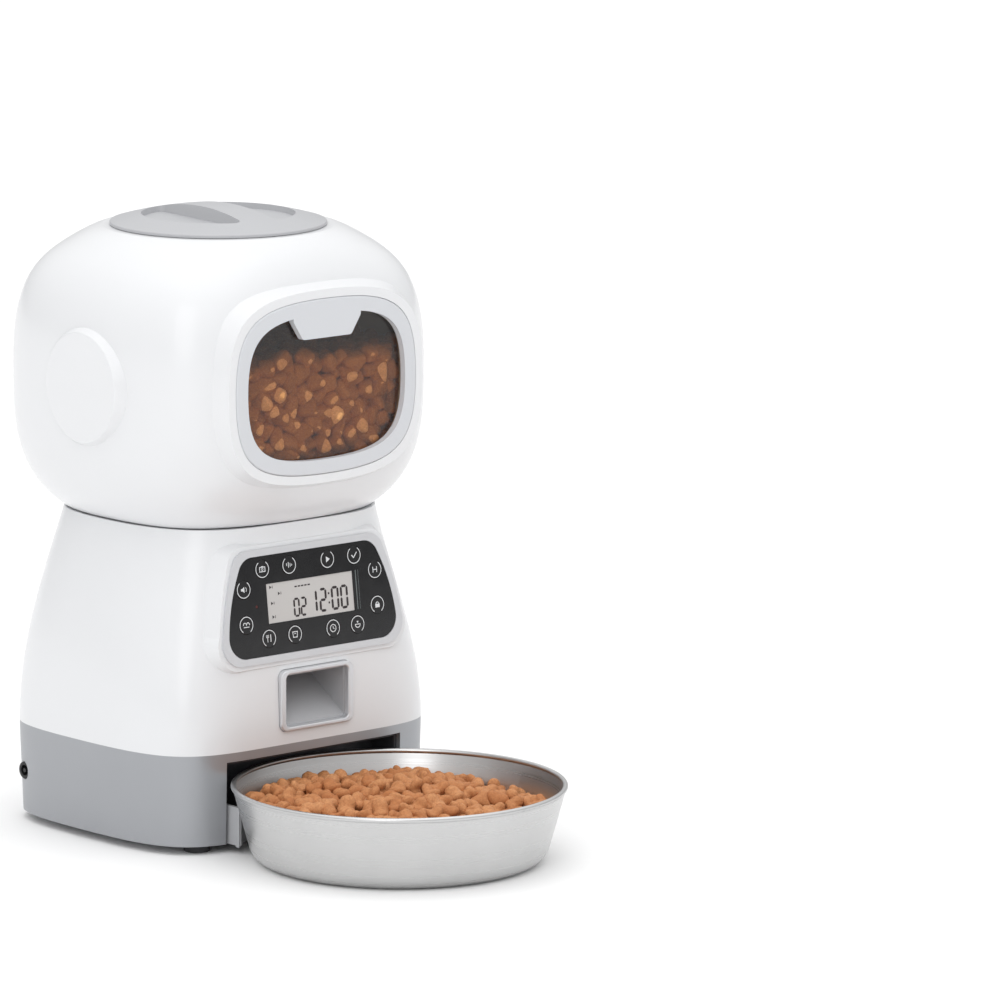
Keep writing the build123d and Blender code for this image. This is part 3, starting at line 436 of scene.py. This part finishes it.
def tank_walls(spots):
    """Keeps food pieces behind the pane and inside the tank's rounded walls."""
    kept = spots - AXIS
    height = np.clip(np.abs(kept[:, 2] - HEAD_MID_Z) / HEAD_HALF_TALL, 0, 0.98)
    room = HEAD_HALF * ((1 - height ** 3) ** (1 / 3))[:, None] - SHELL_T - 1.25 * FOOD_R
    bulge = ((np.abs(kept[:, 0]) / room[:, 0]) ** 3
             + (np.abs(kept[:, 1]) / room[:, 1]) ** 3) ** (1 / 3)
    kept[:, :2] /= np.maximum(bulge, 1)[:, None]
    kept += AXIS
    off = spots - PANE_MID
    in_window = (np.abs(off[:, 0] / SEEN_HALF_X) ** 3 + np.abs(off[:, 2] / SEEN_HALF_Z) ** 3) < 1
    front = np.where(in_window, PANE_BACK + 1.05 * FOOD_R, PANE_BACK + SHELL_T + 1.25 * FOOD_R)
    kept[:, 1] = np.maximum(kept[:, 1], front)
    kept[:, 2] = np.clip(spots[:, 2], FLOOR_OF_FOOD, FILL_Z + 1.5)
    return kept


dice = np.random.default_rng(SEED)
PITCH = 8.1
TANK_HALF_X, TANK_HALF_Y = 88, 80       # the rounded room that food is first laid out in
PANE_LAYER_Y, PANE_LAYER_HALF_X = -50, 72       # food in front of and within these shows
FILL_DEPTH, TOP_LAYER = 52, 12
lattice = []
for x in np.arange(-TANK_HALF_X, TANK_HALF_X, PITCH):
    for y in np.arange(-TANK_HALF_Y, TANK_HALF_Y, PITCH):
        for z in np.arange(FILL_Z - FILL_DEPTH, FILL_Z + 1, PITCH * 0.82):
            near_pane = y < PANE_LAYER_Y and abs(x) < PANE_LAYER_HALF_X
            near_top = z > FILL_Z - TOP_LAYER
            if near_pane or near_top:
                lattice.append((x, y, z))
lattice = np.array(lattice) + dice.uniform(-2.4, 2.4, (len(lattice), 3)) + AXIS
inside = (np.abs((lattice[:, 0] - AXIS[0]) / TANK_HALF_X) ** 3
          + np.abs((lattice[:, 1] - AXIS[1]) / TANK_HALF_Y) ** 3)
spots = settle(lattice[inside < 1], 1.72 * FOOD_R, tank_walls, 40)
by_pane = spots[:, 1] < AXIS[1] + PANE_LAYER_Y
pour("tank_food_by_pane", spots[by_pane], FOOD_R * 1.12, tablet, 3, TANK_KIBBLE, "head", dice)
pour("tank_food_top", spots[~by_pane], FOOD_R * 1.12, tablet, 2, TANK_KIBBLE, "head", dice)

# the bowl: a loose heap, highest a little behind the middle
bowl_low, bowl_high = (np.array(corner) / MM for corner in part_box("bowl"))
RIM_R, RIM_Z = (bowl_high[0] - bowl_low[0]) / 2, bowl_high[2]
BOWL_AXIS = np.array([0.0, BOWL.y / MM, 0.0])
LUMP_R = 5.3
WALL_IN, WALL_LEAN = 2.2, 0.29          # the wall's inner face, from the rim, and its lean
HEAP_X, HEAP_Y, HEAP_DOME_R = -4, 6, 78         # where the heap is highest, and how far it runs
HEAP_FOOT, HEAP_RISE = 12.5, 9.5        # the heap's edge under the rim, and its height there on


def wall_at(z):
    """Inner radius of the bowl at height z."""
    return RIM_R - WALL_IN - WALL_LEAN * (RIM_Z - z)


def heap_at(x, y):
    """Height of the heap over a place, from the bowl's axis."""
    dome = 1 - ((x - HEAP_X) ** 2 + (y - HEAP_Y) ** 2) / HEAP_DOME_R ** 2
    waves = 1.6 * np.sin(x / 13 + 0.6) * np.cos(y / 15) + 1.1 * np.sin((x + y) / 8)
    return RIM_Z - HEAP_FOOT + HEAP_RISE * np.clip(dome, 0, 1) + waves


def bowl_walls(spots):
    """Keeps food pieces inside the bowl and under the heap's top."""
    kept = spots - BOWL_AXIS
    top = heap_at(kept[:, 0], kept[:, 1])
    kept[:, 2] = np.clip(kept[:, 2], top - 15, top - 0.5 * LUMP_R)
    out = np.hypot(kept[:, 0], kept[:, 1])
    room = wall_at(kept[:, 2]) - LUMP_R
    kept[:, :2] *= (np.minimum(out, room) / np.maximum(out, 1e-6))[:, None]
    return kept + BOWL_AXIS


heap = []
LUMP_PITCH = 9.4
HEAP_R = 74
LAYERS_DOWN = (2.5, 9.5)                # two layers of food under the heap's top
for x in np.arange(-76, 77, LUMP_PITCH):
    for y in np.arange(-76, 77, LUMP_PITCH):
        if math.hypot(x, y) < HEAP_R:
            top = heap_at(x, y)
            for drop in LAYERS_DOWN:
                heap.append((x, y, top - drop))
heap = np.array(heap) + dice.uniform(-2.6, 2.6, (len(heap), 3)) + BOWL_AXIS
heap = settle(heap, 1.66 * LUMP_R, bowl_walls, 45)
pour("bowl_food", heap, LUMP_R * 1.08, cross, 3, BOWL_KIBBLE, "bowl", dice)

# ---- printed marks and display ---------------------------------------------------------------------
LENS_T = 2.4                    # thickness of the panel's lens
panel_low, panel_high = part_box("panel_lens")
# the panel leans back by this
TILT = math.asin((panel_high.y - panel_low.y - LENS_T * MM) / (panel_high.z - panel_low.z))
PANEL_OUT = Vector((0, -math.cos(TILT), math.sin(TILT)))
PANEL_UP = Vector((0, math.sin(TILT), math.cos(TILT)))
PANEL_RIGHT = Vector((1, 0, 0))
PANEL_FOOT = Vector((0, panel_low.y, panel_low.z + LENS_T * math.sin(TILT) * MM))
CAP_FRONT, CAP_RISE = 0.1, 0.19  # a cap stands proud of the lens; its flange lowers its box's middle
DISPLAY_FRONT = -0.4            # the display lies under the lens's front


def on_panel(node, front):
    """The place on the panel's front plane in front of a part's middle, moved out by front."""
    spot = middle(node)
    return spot + PANEL_OUT * (front * MM - (spot - PANEL_FOOT).dot(PANEL_OUT))


INK_LIFT = 0.03                 # ink stands this proud of what it is printed on


def stroke(points, width, closed=False):
    """Four-cornered patches along a line, with mitred joints."""
    points = [Vector(p) for p in points]
    count = len(points)
    sides = []
    for number, point in enumerate(points):
        before = points[number - 1] if number or closed else point
        after = points[(number + 1) % count] if number < count - 1 or closed else point
        into = (point - before).normalized() if point != before else (after - point).normalized()
        onward = (after - point).normalized() if after != point else into
        normal = Vector((-(into + onward).y, (into + onward).x)).normalized()
        lean = max(0.5, normal.dot(Vector((-into.y, into.x))))
        sides.append((point + normal * width / 2 / lean, point - normal * width / 2 / lean))
    patches = []
    for number in range(count if closed else count - 1):
        a, b = sides[number], sides[(number + 1) % count]
        patches.append([a[0], a[1], b[1], b[0]])
    return patches


def arc(radius, start, end, width, centre=(0, 0), steps=32):
    """Patches along an arc; angles in degrees."""
    angles = [math.radians(start + (end - start) * step / steps) for step in range(steps + 1)]
    line = [(centre[0] + radius * math.cos(a), centre[1] + radius * math.sin(a)) for a in angles]
    return stroke(line, width)


def printed(name, patches, origin, body, material):
    """Flat marks on the panel's plane; patches hold right and up in millimetres from origin."""
    points, faces = [], []
    for patch in patches:
        faces.append(tuple(range(len(points), len(points) + len(patch))))
        for across, up in patch:
            points.append(origin + (PANEL_RIGHT * across + PANEL_UP * up + PANEL_OUT * INK_LIFT) * MM)
    made = shown(name, points, faces, material)
    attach(made, body)
    return made


LINE = 0.42
ICONS = {
    "record": stroke([(-1.7, -1.2), (1.7, -1.2), (1.7, 1.0), (-1.7, 1.0)], LINE, True)
    + stroke([(-0.6, 1.3), (0.6, 1.3)], LINE) + arc(0.55, 0, 360, 0.3, (0, -0.1), 12),
    "voice": stroke([(-1.6, -0.2), (-1.6, 1.1)], LINE) + stroke([(-0.5, -1.2), (-0.5, 1.5)], LINE)
    + stroke([(0.6, -0.8), (0.6, 1.0)], LINE) + stroke([(1.6, -0.4), (1.6, 0.5)], LINE),
    "play": [[(-0.9, 1.5), (-0.9, -1.5), (1.6, 0.0)]],
    "power": stroke([(-1.6, 0.2), (-0.4, -1.2), (1.8, 1.4)], 0.5),
    "volume": [[(-1.7, -0.6), (-0.8, -0.6), (-0.8, 0.6), (-1.7, 0.6)],
               [(-0.8, -0.6), (0.4, -1.5), (0.4, 1.5), (-0.8, 0.6)]]
    + arc(1.5, -45, 45, 0.35, (0.2, 0), 10),
    "delete": arc(0.95, 200, -20, LINE, (-1.0, 0.2), 14) + arc(0.95, 200, -20, LINE, (1.0, 0.2), 14)
    + stroke([(-1.8, -1.0), (1.8, -1.0)], LINE),
    "reset": stroke([(-1.2, -1.5), (-1.2, 1.5)], LINE) + stroke([(1.2, -1.5), (1.2, 1.5)], LINE)
    + stroke([(-1.2, 0), (1.2, 0)], LINE),
    "lock": [[(-1.4, -1.5), (1.4, -1.5), (1.4, 0.3), (-1.4, 0.3)]]
    + arc(0.9, 0, 180, LINE, (0, 0.3), 12),
    "meal_count": stroke([(-1.0, -1.8), (-1.0, 1.8)], 0.4) + stroke([(-1.7, 1.8), (-1.7, 0.5),
                                                                     (-0.3, 0.5), (-0.3, 1.8)], 0.3)
    + stroke([(1.0, -1.8), (1.0, 1.8)], 0.5),
    "meal_size": stroke([(-1.5, 1.3), (-1.2, -1.4), (1.2, -1.4), (1.5, 1.3)], LINE, True)
    + stroke([(-0.5, 0.4), (0.5, 0.4)], 0.35),
    "clock": arc(1.8, 0, 360, LINE, (0, 0), 28) + stroke([(0, 1.0), (0, 0), (0.8, -0.3)], 0.36),
    "feed_now": arc(1.6, 180, 360, LINE, (0, 0), 16) + stroke([(-1.8, 0), (1.8, 0)], LINE)
    + [[(-0.7, 1.6), (0.0, 0.5), (0.7, 1.6)]],
}
RING_R, RING_W, RING_GAP = 4.05, 0.40, 34       # gap in degrees either side of its middle
for key, icon in ICONS.items():
    node = f"key_{key}"
    centre = on_panel(node, CAP_FRONT) + PANEL_UP * CAP_RISE * MM
    gap = 90 if middle(node).z > (panel_low.z + panel_high.z) / 2 + 4 * MM else 270
    ring = arc(RING_R, gap + RING_GAP, gap + 360 - RING_GAP, RING_W, steps=44)
    printed(f"{node}_mark", ring + icon, centre, node, INK_WHITE)

SEGMENTS = {"0": "abcdef", "1": "bc", "2": "abged"}


def figure(character, left, foot, wide, tall, thick):
    """One seven-segment figure, each segment pointed at its ends."""
    half, space = tall / 2, 0.12 * thick
    ends = {
        "a": ((0, tall), (wide, tall)), "g": ((0, half), (wide, half)), "d": ((0, 0), (wide, 0)),
        "f": ((0, half), (0, tall)), "b": ((wide, half), (wide, tall)),
        "e": ((0, 0), (0, half)), "c": ((wide, 0), (wide, half)),
    }
    patches = []
    for name in SEGMENTS[character]:
        start, end = (Vector(p) for p in ends[name])
        along = (end - start).normalized()
        side = Vector((-along.y, along.x)) * thick / 2
        start, end = start + along * space, end - along * space
        inner, outer = start + along * thick / 2, end - along * thick / 2
        hexagon = [start, inner - side, outer - side, end, outer + side, inner + side]
        patches.append([(left + p.x, foot + p.y) for p in hexagon])
    return patches


display = on_panel("lcd_module", DISPLAY_FRONT)
SMALL = {"foot": -7.9, "wide": 3.0, "tall": 8.4, "thick": 1.1}
LARGE = {"foot": -7.4, "tall": 10.6, "thick": 1.3}
figures = figure("0", -10.6, **SMALL) + figure("2", -6.2, **SMALL)
figures += figure("1", 1.4, wide=2.2, **LARGE) + figure("2", 6.2, wide=3.6, **LARGE)
figures += figure("0", 13.9, wide=3.7, **LARGE) + figure("0", 19.8, wide=3.7, **LARGE)
# the colon between hours and minutes
for height in (-4.4, 0.2):
    figures.append([(11.3, height), (12.3, height), (12.3, height + 1), (11.3, height + 1)])
# small markers down the display's left side, and a row of dashes along its top
for across, up in ((-25.6, 7.2), (-20.4, 3.6), (-25.2, -0.8), (-25.0, -7.6)):
    figures.append([(across, up), (across, up + 1.8), (across + 1.4, up + 0.9)])
    figures += stroke([(across + 1.9, up + 0.2), (across + 1.9, up + 1.6)], 0.35)
for step in range(5):
    figures += stroke([(-9.6 + 2.1 * step, 6.6), (-8.1 + 2.1 * step, 6.6)], 0.7)
printed("display_figures", figures, display, "housing", INK_DARK)
# two grey lines at the display glass's edge: the edge is real, and its grey is a painted glint that
# stands in for the light it catches
edge = stroke([(29.6, -9.4), (29.6, 10.2)], 0.45) + stroke([(31.2, -9.4), (31.2, 10.2)], 0.2)
printed("display_edge_painted_glint", edge, on_panel("lcd_module", 0), "housing", GLINT_LINE_GREY)
